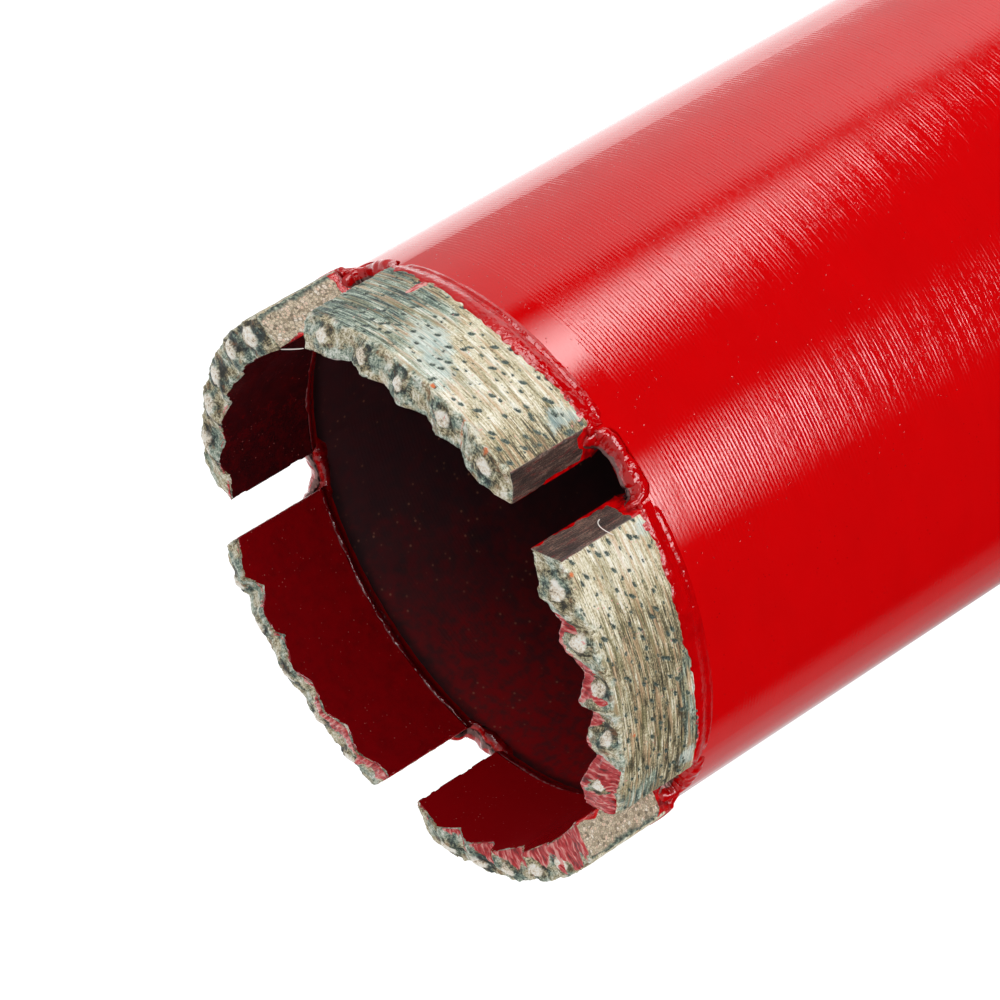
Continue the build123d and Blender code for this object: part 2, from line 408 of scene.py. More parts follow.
def ridge_piece(number, material):
    """The painted solder under a segment's overhang: a fillet, a furrow and a lower ridge that dies out."""
    grain = Grain(RIDGE_SEED + number)
    counts = [2, 210, 36]
    places, quads = block_skin(counts)
    depth, part, lift = (places / counts).T
    along = (part - 0.5) * (SEGMENT_LENGTH + 0.5)
    row = np.stack([along, np.zeros_like(along), np.zeros_like(along)], axis=1)
    climb = 0.35 + 0.6 * (1 - (along / SEGMENT_LENGTH * 2) ** 2) + 0.3 * grain.rough(row, 1.5)
    level = (RIDGE_FOOT + climb) * lift - RIDGE_FOOT
    flat = np.stack([along, np.zeros_like(along), level], axis=1)
    middle = ease(-1.8, -1.3, level) * (1 - ease(-0.4, 0.1, level))
    level = level + 0.18 * grain.rough(flat, (1.6, 1, 3)) * middle
    profile = np.interp(level, RIDGE_LEVELS, RIDGE_RISE)
    profile = profile - 0.12 * ease(-0.25, 0.0, level - climb)
    swell = 0.08 * grain.rough(flat, (3.0, 1, 0.8)) + 0.02 * grain.at(flat, (0.8, 1, 0.3))
    by_end = ease(SEGMENT_LENGTH / 2 - 1.6, SEGMENT_LENGTH / 2 + 0.2, np.abs(along))
    sunk = by_end * (1 - ease(-0.6, 0.1, level))
    rise = (RIDGE_SINK + profile + swell * middle) * (1 - sunk)
    radius = BARREL_R - RIDGE_SINK + depth * rise
    angle = FIRST_ANGLE + number * PITCH_ANGLE
    points = round_axis(along, radius, level, angle)
    return piece(f"paint_ridge_{number + 1}", points, quads, material)


def tube_quads(steps, across):
    """Quads of a tube of rings, each ring across points round."""
    rows = np.arange(steps - 1)[:, None] * across
    here = np.arange(across)[None, :]
    there = (here + 1) % across
    corners = [rows + here, rows + across + here, rows + across + there, rows + there]
    return np.stack(corners, axis=-1).reshape(-1, 4)


def rounded_ends(run, sharpness):
    """1 along the middle of a run from -1 to 1, dropping to 0 at its ends."""
    return np.sqrt(np.clip(1 - np.abs(run) ** sharpness, 0, 1))


def lip_piece(number, material):
    """Lumps of painted solder round the foot of a water slot, from one segment's end to the next."""
    grain = Grain(LIP_SEED + number)
    steps, across = 170, 32
    half = np.array([
        (SLOT_REACH + 0.1, LIP_TOP), (SLOT_REACH, 0.2), (SLOT_REACH, SLOT_CORNER - SLOT_SINK - 0.3),
        (SLOT_REACH - 0.4, 0.35 - SLOT_SINK), (SLOT_REACH - SLOT_CORNER, -SLOT_SINK), (0, -SLOT_SINK - 0.1)])
    route = np.concatenate([half * (-1, 1), half[-2::-1]])
    length = np.concatenate([[0], np.cumsum(np.linalg.norm(np.diff(route, axis=0), axis=1))])
    run = np.linspace(0, length[-1], steps)
    along, height = (np.interp(run, length, route[:, n]) for n in (0, 1))
    tangent = np.stack([np.gradient(along), np.gradient(height)], axis=1)
    tangent /= np.linalg.norm(tangent, axis=1, keepdims=True)
    ends = rounded_ends(run / length[-1] * 2 - 1, 8)
    spots = np.stack([along, height, np.zeros(steps)], axis=1)
    girth = (0.66 + 0.3 * grain.rough(spots, 1.5, 2)) * ends + 0.02
    thick = (1.18 + 0.14 * grain.rough(spots + 9, 1.8, 2)) * ends + 0.02

    turn = np.arange(across) * 2 * math.pi / across
    sideways = np.cos(turn)[None, :] * girth[:, None]
    radial = np.sign(np.sin(turn)) * np.abs(np.sin(turn)) ** 0.8
    radius = BARREL_R - LIP_SINK + radial[None, :] * thick[:, None]
    lip_along = along[:, None] - tangent[:, 1:] * sideways
    lip_height = height[:, None] + tangent[:, :1] * sideways
    flat = np.stack([lip_along, radius, lip_height], axis=-1).reshape(-1, 3)
    quads = tube_quads(steps, across)
    points = wrapped(flat, FIRST_ANGLE + (number + 0.5) * PITCH_ANGLE)
    bulge = 0.16 * grain.at(flat, 1.2) + 0.09 * grain.at(flat, 0.55)
    points = points + point_normals(points, quads) * bulge[:, None]
    return piece(f"slot_lip_{number + 1}", points, quads, material)


def wrapped(flat, angle):
    """Points given as arc at the barrel's skin, radius and height over the segments' feet."""
    turn = angle + flat[:, 0] / BARREL_R
    return np.stack([
        flat[:, 1] * np.cos(turn), flat[:, 1] * np.sin(turn), flat[:, 2] + SEGMENT_BASE], axis=1)


def inner_bead_piece(number, material):
    """A thin run of paint and solder along a segment's inner foot."""
    grain = Grain(BEAD_SEED + number)
    steps, across = 240, 14
    run = np.linspace(-1, 1, steps)
    along = run * (SEGMENT_LENGTH / 2 - 0.15)
    spots = np.stack([along, np.zeros(steps), np.zeros(steps)], axis=1)
    girth = (0.17 + 0.07 * grain.rough(spots, 1.4)) * rounded_ends(run, 10) + 0.01
    height = -0.12 + 0.1 * grain.rough(spots + 4, 2.2)
    turn = np.arange(across) * 2 * math.pi / across
    radius = CORE_R + 0.1 - np.cos(turn)[None, :] * girth[:, None]
    level = height[:, None] + np.sin(turn)[None, :] * girth[:, None] * 1.3
    flat = np.stack([np.repeat(along, across), radius.ravel(), level.ravel()], axis=1)
    quads = tube_quads(steps, across)[:, ::-1]
    points = round_axis(flat[:, 0], flat[:, 1], flat[:, 2], FIRST_ANGLE + number * PITCH_ANGLE)
    points = points + point_normals(points, quads) * (0.05 * grain.rough(flat, 0.5))[:, None]
    return piece(f"inner_bead_{number + 1}", points, quads, material)


FIBRES = [  # lint caught on the crown: the segment it clings to, and its places (along, radius, height)
    ("segment_3", [(12.9, 25.75, 3.8), (12.6, 25.4, 4.0), (12.15, 25.45, 3.95), (11.9, 26.05, 3.8),
                   (11.7, 26.15, 3.6)]),
    ("segment_4", [(12.0, 22.8, 9.0), (12.9, 22.6, 8.8), (13.9, 22.6, 8.8), (14.7, 22.85, 9.2)]),
    ("segment_4", [(8.8, 23.0, 9.3), (8.4, 22.6, 9.2), (8.3, 22.3, 8.8), (8.0, 22.2, 8.5)]),
    ("segment_3", [(7.6, 23.3, 9.2), (7.1, 22.8, 9.1), (6.7, 22.4, 9.1), (6.2, 22.5, 8.8)]),
]
FIBRE_R = 0.04
FIBRE_STEPS = 40
FIBRE_SMOOTHING = 25
FIBRE_SIDES = 6


def fibre_piece(number, material):
    """A stray fibre: a fine tube along a smooth curve through its places."""
    name, places = FIBRES[number]
    places = np.array(places)
    run = np.linspace(0, len(places) - 1, FIBRE_STEPS)
    line = np.stack([np.interp(run, np.arange(len(places)), places[:, axis]) for axis in range(3)], axis=1)
    for _ in range(FIBRE_SMOOTHING):
        line[1:-1] = (line[:-2] + line[1:-1] + line[2:]) / 3
    tangent = np.gradient(line, axis=0)
    tangent /= np.linalg.norm(tangent, axis=1, keepdims=True)
    aside = np.cross(tangent, (0.3, 0.2, 1.0))
    aside /= np.linalg.norm(aside, axis=1, keepdims=True)
    across = np.cross(tangent, aside)
    turn = np.arange(FIBRE_SIDES)[None, :, None] * math.pi / (FIBRE_SIDES / 2)
    girth = FIBRE_R * rounded_ends(run / run[-1] * 2 - 1, 12)[:, None, None] + 0.004
    points = line[:, None] + (aside[:, None] * np.cos(turn) + across[:, None] * np.sin(turn)) * girth
    points = points.reshape(-1, 3)
    angle = FIRST_ANGLE + SEGMENTS.index(name) * PITCH_ANGLE
    points = round_axis(points[:, 0], points[:, 1], points[:, 2], angle)
    return piece(f"fibre_{number + 1}", points, tube_quads(len(run), FIBRE_SIDES), material)


# ---------------------------------------------------------------- hub thread and weld

def thread_piece(material):
    """The ridge of the spindle thread, a right-hand helix whose ends run out into the bore's wall."""
    per_turn = 90
    turns = (THREAD_LENGTH - THREAD_PITCH) / THREAD_PITCH
    steps = round(per_turn * turns)
    part = np.linspace(0, 1, steps)
    turn = part * turns * 2 * math.pi
    rise = THREAD_PITCH * (0.5 + part * turns)
    full = np.minimum(1, np.minimum(part, 1 - part) * turns / 0.6)
    section = np.array([(0.05, -0.48), (-0.55, -0.3), (-1, -0.07), (-1, 0.07), (-0.55, 0.3), (0.05, 0.48)])
    depth = THREAD_ROOT_R - THREAD_CREST_R
    radius = THREAD_ROOT_R + section[None, :, 0] * depth * full[:, None]
    level = rise[:, None] + section[None, :, 1] * THREAD_PITCH * (0.4 + 0.6 * full[:, None])
    points = np.stack([
        radius * np.cos(turn)[:, None], radius * np.sin(turn)[:, None], level], axis=-1).reshape(-1, 3)
    return piece("spindle_thread", points, tube_quads(steps, len(section))[:, ::-1], material)


def weld_piece(material):
    """The weld between hub and barrel, with the ripples that the arc left."""
    grain = Grain(WELD_SEED)
    steps, across, ripples = 720, 20, 75
    turn = np.arange(steps + 1)[:, None] * 2 * math.pi / steps
    section = np.arange(across)[None, :] * 2 * math.pi / across
    level, out = np.cos(section), np.sin(section)
    crown = WELD_CROWN + 0.12 * np.abs(np.sin(turn * ripples + 1.6 * level**2))
    radius = BARREL_R - 0.1 + np.where(out > 0, crown, 0.4) * out
    spots = np.concatenate([np.cos(turn), np.sin(turn), 0 * turn], axis=1) * BARREL_R
    wander = 0.15 * grain.rough(spots, 5)[:, None]
    height = BARREL_FOOT + WELD_HALF_WIDTH * level + wander
    points = np.stack([radius * np.cos(turn), radius * np.sin(turn), height], axis=-1).reshape(-1, 3)
    made = piece("rippled_weld", points, tube_quads(steps + 1, across)[:, ::-1], material)
    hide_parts("weld_bead")
    return made


# ---------------------------------------------------------------- shader helpers

class Value:
    """A node's output, which Python expressions can work on."""

    def __init__(self, finish, socket):
        self.finish = finish
        self.socket = socket

    def maths(self, operation, first, second=0.0):
        return self.finish.node("ShaderNodeMath", {"operation": operation}, {0: first, 1: second})

    def __add__(self, other):
        return self.maths("ADD", self, other)

    def __sub__(self, other):
        return self.maths("SUBTRACT", self, other)

    def __rsub__(self, other):
        return self.maths("SUBTRACT", other, self)

    def __mul__(self, other):
        return self.maths("MULTIPLY", self, other)

    def __truediv__(self, other):
        return self.maths("DIVIDE", self, other)

    __radd__ = __add__
    __rmul__ = __mul__

    def sine(self):
        return self.maths("SINE", self)

    def highest(self, other):
        return self.maths("MAXIMUM", self, other)

    def between(self, low_edge, high_edge, start=0.0, end=1.0):
        """start below low_edge, end above high_edge, and smooth between them."""
        return self.finish.node(
            "ShaderNodeMapRange", {"interpolation_type": "SMOOTHSTEP"},
            {0: self, 1: low_edge, 2: high_edge, 3: start, 4: end})


class Finish:
    """A material or world on its one shader, and the nodes that feed it."""

    def __init__(self, name, constants=None, kind="materials", shader="Principled BSDF"):
        self.material = getattr(bpy.data, kind).new(name)
        self.material.use_nodes = True
        self.tree = self.material.node_tree
        self.shader = self.tree.nodes[shader]
        self.feed(constants or {})

    def node(self, kind, settings=None, inputs=None, output=0):
        """Adds any node: its settings are set first, then the values or links of its sockets."""
        made = self.tree.nodes.new(kind)
        for key, value in (settings or {}).items():
            if key == "stops":
                set_stops(made.color_ramp, value)
            else:
                setattr(made, key, value)
        for key, value in (inputs or {}).items():
            self.join(value, made.inputs[key])
        return Value(self, made.outputs[output])

    def join(self, value, socket):
        if isinstance(value, Value):
            self.tree.links.new(value.socket, socket)
        else:
            socket.default_value = value

    def feed(self, sockets):
        for key, value in sockets.items():
            self.join(value, self.shader.inputs[key])

    def mark(self, name, output="Fac"):
        """A value kept at the mesh's points."""
        return self.node("ShaderNodeAttribute", {"attribute_name": name}, output=output)

    def scaled(self, place, scale):
        return self.node("ShaderNodeVectorMath", {"operation": "MULTIPLY"}, {0: place, 1: scale})

    def noise(self, place, pitch, detail=2.0, rough=0.5):
        """Smooth noise from 0 to 1. pitch is one number, or one for each axis, in the units of place."""
        pitch = (pitch, pitch, pitch) if isinstance(pitch, (int, float)) else pitch
        return self.node("ShaderNodeTexNoise", {}, {
            "Vector": self.scaled(place, tuple(1 / p for p in pitch)),
            "Scale": 1.0, "Detail": detail, "Roughness": rough})

    def cells(self, place, pitch, feature="F1", output="Distance"):
        """Scattered cells: the distance to a cell's middle or edge, in cells, or its own colour."""
        pitch = (pitch, pitch, pitch) if isinstance(pitch, (int, float)) else pitch
        return self.node("ShaderNodeTexVoronoi", {"feature": feature}, {
            "Vector": self.scaled(place, tuple(1 / p for p in pitch)), "Scale": 1.0}, output)

    def mix(self, factor, first, second):
        """Mixes two colours."""
        return self.node("ShaderNodeMix", {"data_type": "RGBA"}, {0: factor, 6: first, 7: second}, 2)

    def ramp(self, factor, stops):
        return self.node("ShaderNodeValToRGB", {"stops": stops}, {0: factor})

    def bump(self, height):
        """A normal from a height in millimetres."""
        return self.node("ShaderNodeBump", {}, {"Height": height, "Distance": MM})


def set_stops(ramp, stops):
    """Fills a colour ramp with (place, colour) stops."""
    while len(ramp.elements) < len(stops):
        ramp.elements.new(0.5)
    for element, (place, colour) in zip(ramp.elements, stops):
        element.position = place
        element.color = colour


def tone(red, green, blue):
    """A colour given as it shows on screen, 0 to 255."""
    def linear(level):
        level = level / 255
        return level / 12.92 if level <= 0.04045 else ((level + 0.055) / 1.055) ** 2.4
    return (linear(red), linear(green), linear(blue), 1.0)


# ---------------------------------------------------------------- finishes

PAINT_RED = tone(212, 2, 6)
PAINT_DEEP = tone(198, 2, 5)
PAINT_INNER_SHADED = tone(158, 2, 12)  # darker red inside the crown: painted shade
GROOVE_PITCH = 0.342  # feed of the lathe that turned the tube
GROOVE_DEPTH = 0.0030
SMOOTH_BAND = 4.2  # no rings this near the rim
EVEN_BAND = 11.0  # past this the rings are worn and filled unevenly


def millimetres(finish):
    """Object coordinates in millimetres."""
    place = finish.node("ShaderNodeTexCoord", {}, {}, "Object")
    return finish.scaled(place, (1 / MM, 1 / MM, 1 / MM))


def height_and_radius(finish, place):
    height = finish.node("ShaderNodeSeparateXYZ", {}, {0: place}, "Z")
    flat_place = finish.scaled(place, (1, 1, 0))
    return height, finish.node("ShaderNodeVectorMath", {"operation": "LENGTH"}, {0: flat_place}, "Value")


def barrel_paint():
    """Gloss red over a turned tube: fine rings show through. The bore is dark scale past the mouth, made near
    black as painted shade; near the mouth red overspray reaches in on the -X side as painted light, and a
    painted shadow line runs just inside the rim.
    """
    f = Finish("red_paint_on_turned_tube")
    place = millimetres(f)
    height, radius = height_and_radius(f, place)
    outside = radius.between(BARREL_R - 0.6, BARREL_R - 0.3)

    drift = f.noise(place, (12, 12, 3), 2)
    rings = (height * (2 * math.pi / GROOVE_PITCH) + drift * 2.0).sine()
    patchy = f.noise(place, (9, 9, 0.45), 4, 0.65).between(0.35, 0.62, 0.1, 1.3)
    even = height.between(BARREL_RIM - EVEN_BAND - 3, BARREL_RIM - EVEN_BAND)
    turned = height.between(BARREL_RIM - SMOOTH_BAND, BARREL_RIM - SMOOTH_BAND + 0.6, 1.0, 0.12)
    broken = f.noise(place, (0.9, 0.9, 0.25), 3).between(0.3, 0.6, 0.4, 1.2)
    strength = (even + (1.0 - even) * patchy) * turned * broken
    streaks = f.noise(place, (4.0, 4.0, 0.12), 3, 0.6) - 0.5
    peel = f.noise(place, 1.6, 2) - 0.5
    by_rim = height.between(BARREL_RIM - 9, BARREL_RIM - 3)
    dotted = by_rim * f.noise(place, 1.5, 2).between(0.42, 0.55)
    dotted = dotted.highest(f.noise(place, 4, 2).between(0.45, 0.6))
    speck = f.cells(place, 0.55).between(0.05, 0.15, 1.0, 0.0) * dotted
    spray = f.noise(place, (0.4, 0.4, 0.25), 2) - 0.5
    relief = rings * strength * GROOVE_DEPTH + streaks * turned * 0.006 + peel * 0.004
    relief = relief + spray * (turned * 0.005 + 0.0015) - speck * 0.012

    paint = f.mix(f.noise(place, (6, 6, 3), 3), PAINT_DEEP, PAINT_RED)
    paint = f.mix(speck * 0.7, paint, tone(120, 2, 6))
    # Near the mouth red reaches in on the -X side, where light falls in: partly overspray, partly painted
    # light. Elsewhere the bore is dark scale, made near black as painted shade.
    mouth = (height + f.noise(place, 5, 3) * 8.0).between(BARREL_RIM - 26, BARREL_RIM + 3)
    sideways = f.node("ShaderNodeSeparateXYZ", {}, {0: place}, "X")
    lit_side_reach = (sideways + (f.noise(place, 4, 4, 0.65) - 0.5) * 40.0).between(-20, 12, 1.0, 0.08)
    scale = f.mix(f.noise(place, 2.5, 4), tone(36, 26, 29), tone(62, 38, 42))
    overspray_and_painted_light = mouth * lit_side_reach * f.noise(place, 0.9, 4, 0.65).between(0.35, 0.6, 0.35, 1.0)
    bore = f.mix(overspray_and_painted_light, scale, tone(158, 6, 16))
    grit = f.cells(place, 0.8).between(0.06, 0.2, 1.0, 0.0) * f.noise(place, 3, 1).between(0.44, 0.62)
    bore = f.mix(grit * 0.6, bore, tone(186, 134, 104))
    # A dark line just inside the rim, in the step under the segments' inner faces: painted shadow.
    painted_step_shadow = (height + f.noise(place, 2, 3) * 0.8).between(BARREL_RIM - 1.6, BARREL_RIM - 0.6)
    bore = f.mix(painted_step_shadow * 0.85, bore, tone(20, 8, 10))
    f.feed({
        "Base Color": f.mix(outside, bore, paint),
        "Roughness": outside.between(0, 1, 0.34, 0.06) + f.noise(place, 2.2, 3) * 0.03,
        "Normal": f.bump(relief),
    })
    return f.material


def bead_paint():
    """The same red, thick and glossy over solder, darker inside the crown as painted shade. Deep in the slots
    it is bare: dark scale made near black as painted shade, with pale spots that are painted glints.
    """
    f = Finish("red_paint_on_solder", {"Specular IOR Level": 0.4})
    place = millimetres(f)
    _, radius = height_and_radius(f, place)
    wander = radius + (f.noise(place, 0.9, 3) - 0.5) * 1.2
    in_slot = radius.between(CORE_R + 0.7, CORE_R + 1.0)
    bare = wander.between(BARREL_R - 1.05, BARREL_R - 0.85, 1.0, 0.0) * in_slot
    brink = bare * wander.between(BARREL_R - 1.6, BARREL_R - 1.4)
    paint = f.mix(f.noise(place, 1.2, 3), tone(158, 0, 4), PAINT_RED)
    # Beads and lips inside the crown: darker red as painted shade.
    inside = radius.between(CORE_R + 0.3, CORE_R + 0.7, 0.8, 0.0)
    paint = f.mix(inside, paint, tone(60, 2, 8))
    # Deep in the slots: dark scale, made near black as painted shade, with pale spots that are painted
    # glints.
    scale = f.mix(f.noise(place, 0.3, 3).between(0.58, 0.7), tone(20, 8, 9), tone(150, 84, 82))
    scale = f.mix(brink * 0.6, scale, tone(146, 110, 106))
    f.feed({
        "Base Color": f.mix(bare, paint, scale),
        "Metallic": bare,
        "Roughness": bare.between(0, 1, 0.06, 0.5),
        "Normal": f.bump((f.noise(place, 0.6, 2) - 0.5) * 0.11 + (f.noise(place, 0.25, 2) - 0.5) * 0.03),
    })
    return f.material


def hub_paint():
    """Red paint on a turned and milled hub, rubbed through on its corners, bare steel in its bore."""
    f = Finish("red_paint_on_hub")
    place = millimetres(f)
    height, radius = height_and_radius(f, place)
    bore = radius.between(THREAD_ROOT_R + 0.6, THREAD_ROOT_R + 1.6, 1.0, 0.0)
    corner = (radius + f.noise(place, 1.8, 4) * 1.6).between(HEX_CORNER_R + 0.5, HEX_CORNER_R + 1.1)
    corner = corner * height.between(HUB_HEX_TOP - 0.1, HUB_HEX_TOP, 1.0, 0.0)
    seat = (height + f.noise(place, (4, 4, 1), 4) * 0.5).between(0.2, 0.36, 1.0, 0.0)
    bare = bore.highest(corner).highest(seat)
    paint = f.mix(f.noise(place, (5, 5, 3), 3), PAINT_DEEP, PAINT_RED)
    steel = f.mix(f.noise(place, (6, 6, 0.3), 3), tone(120, 118, 116), tone(176, 174, 170))
    lathe = f.noise(place, (5.0, 5.0, 0.2), 2) - 0.5
    peel = f.noise(place, 1.4, 2) - 0.5
    f.feed({
        "Base Color": f.mix(bare, paint, steel),
        "Metallic": bare,
        "Roughness": bare.between(0, 1, 0.1, 0.32) + f.noise(place, 3, 3) * 0.06,
        "Normal": f.bump(lathe * 0.012 + peel * 0.012),
    })
    return f.material


def bare_steel():
    f = Finish("cut_steel")
    place = millimetres(f)
    f.feed({
        "Base Color": f.mix(f.noise(place, (4, 4, 0.4), 3), tone(122, 120, 118), tone(188, 186, 182)),
        "Metallic": 1.0,
        "Roughness": f.noise(place, 1.2, 3).between(0.2, 0.8, 0.24, 0.42),
        "Normal": f.bump((f.noise(place, (6, 6, 0.15), 2) - 0.5) * 0.01),
    })
    return f.material


def patina(f, level, cool):
    """Matrix, from its dark hollows at 0 to rubbed cream at 1: olive, or teal where cool is 1."""
    warm = f.ramp(level, [
        (0.12, tone(30, 30, 22)), (0.28, tone(78, 70, 48)), (0.42, tone(132, 120, 88)),
        (0.56, tone(186, 174, 138)), (0.70, tone(221, 212, 184)), (0.88, tone(244, 240, 228))])
    teal = f.ramp(level, [
        (0.12, tone(24, 34, 34)), (0.28, tone(56, 74, 70)), (0.42, tone(104, 124, 112)),
        (0.56, tone(152, 166, 148)), (0.70, tone(196, 204, 188)), (0.88, tone(236, 238, 230))])
    return f.mix(cool, warm, teal)


def ground_face(f, place):
    """Scratched matrix: streaks of cream over olive, and teal where slurry dried on it."""
    lines = f.noise(place, (3.0, 9, 0.14), 4, 0.7)
    threads = f.noise(place, (1.1, 9, 0.08), 2)
    bands = f.noise(place, (9.0, 9, 0.5), 2)
    cloud = f.noise(place, (1.8, 9, 0.9), 4, 0.6)
    grit = f.noise(place, (0.2, 2, 0.1), 2)
    grime = f.mark("grime")
    level = 0.68 + (lines - 0.5) * (1.1 + grime * 0.8) + (bands - 0.5) * 0.7 + (cloud - 0.5) * 0.6
    level = level + (threads - 0.5) * 0.6 + (grit - 0.5) * 0.8 - grime * 0.28
    cool = (f.mark("cool") * 0.9 + (cloud - 0.5) * 1.6 + (bands - 0.5) * 1.2).between(0.1, 0.8)
    face = patina(f, level, cool)
    face = f.mix(f.noise(place, (5.0, 9, 0.4), 3).between(0.51, 0.64) * 0.55, face, tone(200, 160, 120))
    face = f.mix(f.noise(place, (6.5, 9, 0.55), 3).between(0.54, 0.64) * 0.45, face, tone(122, 116, 72))
    coat = (f.mark("coat") + (f.noise(place, (0.5, 2, 0.3), 4, 0.7) - 0.5) * 2.2).between(0.3, 0.9)
    face = f.mix(coat * 0.65, face, f.mix(lines.between(0.35, 0.6), tone(140, 168, 166), tone(218, 228, 220)))
    rim = f.mark("pit").between(0.05, 0.3)
    face = f.mix(rim * 0.45, face, tone(128, 132, 112))
    nick = f.cells(place, (0.55, 3, 0.3)).between(0.08, 0.22, 1.0, 0.0)
    nick = nick * f.noise(place, 1.3, 1).between(0.44, 0.58)
    pit = (f.mark("pit") + (f.noise(place, 0.13, 2) - 0.5) * 1.7).between(0.35, 0.6)
    dark = f.mix(grit.between(0.4, 0.6), tone(26, 38, 36), tone(84, 98, 88))
    return f.mix(pit.highest(nick * 0.75), face, dark), lines


def pressed_crumbs(f, place):
    """Matrix as it left the press: grains of several colours with dark gaps between them."""
    grain = f.cells(place, 0.21, output="Color")
    number = f.node("ShaderNodeSeparateColor", {}, {0: grain}, "Red")
    crumbs = f.ramp(number, [
        (0.0, tone(128, 114, 94)), (0.16, tone(180, 162, 134)), (0.45, tone(214, 198, 170)),
        (0.75, tone(226, 210, 184)), (0.9, tone(232, 202, 176)), (1.0, tone(242, 234, 220))])
    gaps = f.cells(place, 0.21, "DISTANCE_TO_EDGE").between(0.02, 0.12, 0.6, 0.0)
    return f.mix(gaps, crumbs, tone(104, 90, 70)), gaps


def toothed_face(f, place):
    """Broken matrix between the teeth, dark in its hollows, and the cream patches that rub on the stone."""
    broken = f.noise(place, 0.9, 5, 0.7)
    grit = f.noise(place, 0.15, 3, 0.6)
    radial = f.noise(place, (0.25, 1.6, 1.0), 3)
    level = 0.6 + (broken - 0.5) * 1.7 + (grit - 0.5) * 1.2 + (radial - 0.5) * 0.7 - f.mark("hollow") * 0.42
    cool = f.noise(place, 1.6, 3).between(0.42, 0.6)
    tooth = patina(f, level, cool)
    tooth = f.mix(f.noise(place, 0.7, 3).between(0.58, 0.68) * 0.5, tooth, tone(150, 104, 66))
    rubbed = f.ramp(broken + (grit - 0.5) * 0.8, [
        (0.28, tone(110, 96, 76)), (0.40, tone(222, 204, 178)), (0.52, tone(244, 238, 226)),
        (0.7, tone(252, 250, 244))])
    return f.mix(f.mark("worn"), tooth, rubbed)


def segment_finish():
    """Sintered diamond matrix: scratched where it was ground, granular where pressed, red where sprayed."""
    f = Finish("diamond_matrix", {"Specular IOR Level": 0.4})
    place = f.mark("place", "Vector")
    ground, worn, lacquer = f.mark("ground"), f.mark("worn"), f.mark("lacquer")
    cut_end, rubbed, inner = f.mark("cut_end"), f.mark("rubbed"), f.mark("inner")

    face, lines = ground_face(f, place)
    crumbs, gaps = pressed_crumbs(f, place)
    strokes = f.noise(place, (0.5, 0.12, 1.8), 4, 0.7)
    speckled = strokes + (f.noise(place, (2, 0.9, 3), 3) - 0.5) * 0.8 + (f.noise(place, 0.13, 2) - 0.5) * 0.5
    smooth_end = f.ramp(speckled, [
        (0.26, tone(18, 14, 14)), (0.42, tone(46, 34, 30)), (0.56, tone(78, 58, 50)),
        (0.68, tone(128, 106, 92)), (0.8, tone(150, 60, 54))])
    reddened = f.noise(place, (1.2, 0.3, 1.4), 4, 0.6).between(0.54, 0.66)
    smooth_end = f.mix(reddened * 0.5, smooth_end, tone(128, 14, 16))
    ends = f.mix(rubbed, crumbs, smooth_end)
    old_grime = patina(f, 0.34 + (f.noise(place, 0.3, 3) - 0.5) * 1.4, 0.8)
    ends = f.mix(f.mark("skirt"), ends, old_grime)
    matrix = f.mix(cut_end, f.mix(ground, toothed_face(f, place), face), ends)
    matrix = f.mix(f.mark("rust"), matrix, tone(214, 112, 54))

    torn = f.noise(place, (0.3, 0.8, 0.3), 3)
    strands = f.noise(place, (0.22, 1.8, 1.8), 3, 0.55)
    streaked = (1.0 - cut_end) * (1.0 - inner)
    red = f.mix(f.noise(place, 0.8, 4).between(0.35, 0.6), tone(132, 2, 8), PAINT_RED)
    # Thin streaked red on the teeth: partly the thin film's own streaks, partly painted light, its palest
    # pink for highlights and its darkest red for shade.
    thin_red_with_painted_light = f.ramp(strands + (torn - 0.5) * 0.7 + (1.0 - lacquer) * 0.12, [
        (0.28, tone(96, 4, 10)), (0.42, tone(172, 16, 24)), (0.54, tone(204, 58, 62)),
        (0.68, tone(234, 162, 154))])
    red = f.mix(streaked, red, thin_red_with_painted_light)
    # Inner faces: darker red as painted shade, by each segment's own amount and a mottle.
    mottle = f.noise(place, 0.8, 5, 0.7)
    inner_shading = (f.mark("soot") + (mottle - 0.5) * 0.9).between(0.0, 1.0)
    inner_red = f.mix(inner_shading, PAINT_INNER_SHADED, tone(52, 12, 16))
    dust = f.cells(place, 0.5).between(0.06, 0.17, 1.0, 0.0) * f.noise(place, 2, 1).between(0.44, 0.58)
    inner_red = f.mix(dust * 0.6, inner_red, tone(200, 110, 100))
    red = f.mix(inner, red, inner_red)
    ragged = (torn - 0.5) * (0.6 + streaked * 0.8) + (strands - 0.5) * streaked * 1.4
    cover = (lacquer.highest(f.mark("smear") * 0.9) + ragged).between(0.38, 0.6)
    relief = (
        (lines - 0.5) * ground * 0.06
        + (f.noise(place, 0.14, 3) - 0.5) * (1.0 - ground) * (1.0 - worn) * (1.0 - cover) * 0.11
        + (strands - 0.5) * cover * streaked * 0.09 + (torn - 0.5) * cover * 0.02
        - f.mark("pit") * 0.05 - gaps * cut_end * (1.0 - rubbed) * 0.03
    )
    f.feed({
        "Base Color": f.mix(cover, matrix, red),
        "Roughness": cover.between(0, 1, 0.5, 0.14) - worn * 0.1,
        "Normal": f.bump(relief),
    })
    return f.material


# ---------------------------------------------------------------- studio

def light_level(finish, strength):
    """Full white for what the camera and reflections see, strength for what lights the scene."""
    path = "ShaderNodeLightPath"
    seen = finish.node(path, {}, {}, "Is Camera Ray")
    seen = seen.highest(finish.node(path, {}, {}, "Is Glossy Ray"))
    seen = seen.highest(finish.node(path, {}, {}, "Is Transmission Ray"))
    return seen * (1.0 - strength) + strength


def studio_world(strength):
    f = Finish("studio", {"Color": (1, 1, 1, 1)}, "worlds", "Background")
    f.feed({"Strength": light_level(f, strength)})
    bpy.context.scene.world = f.material


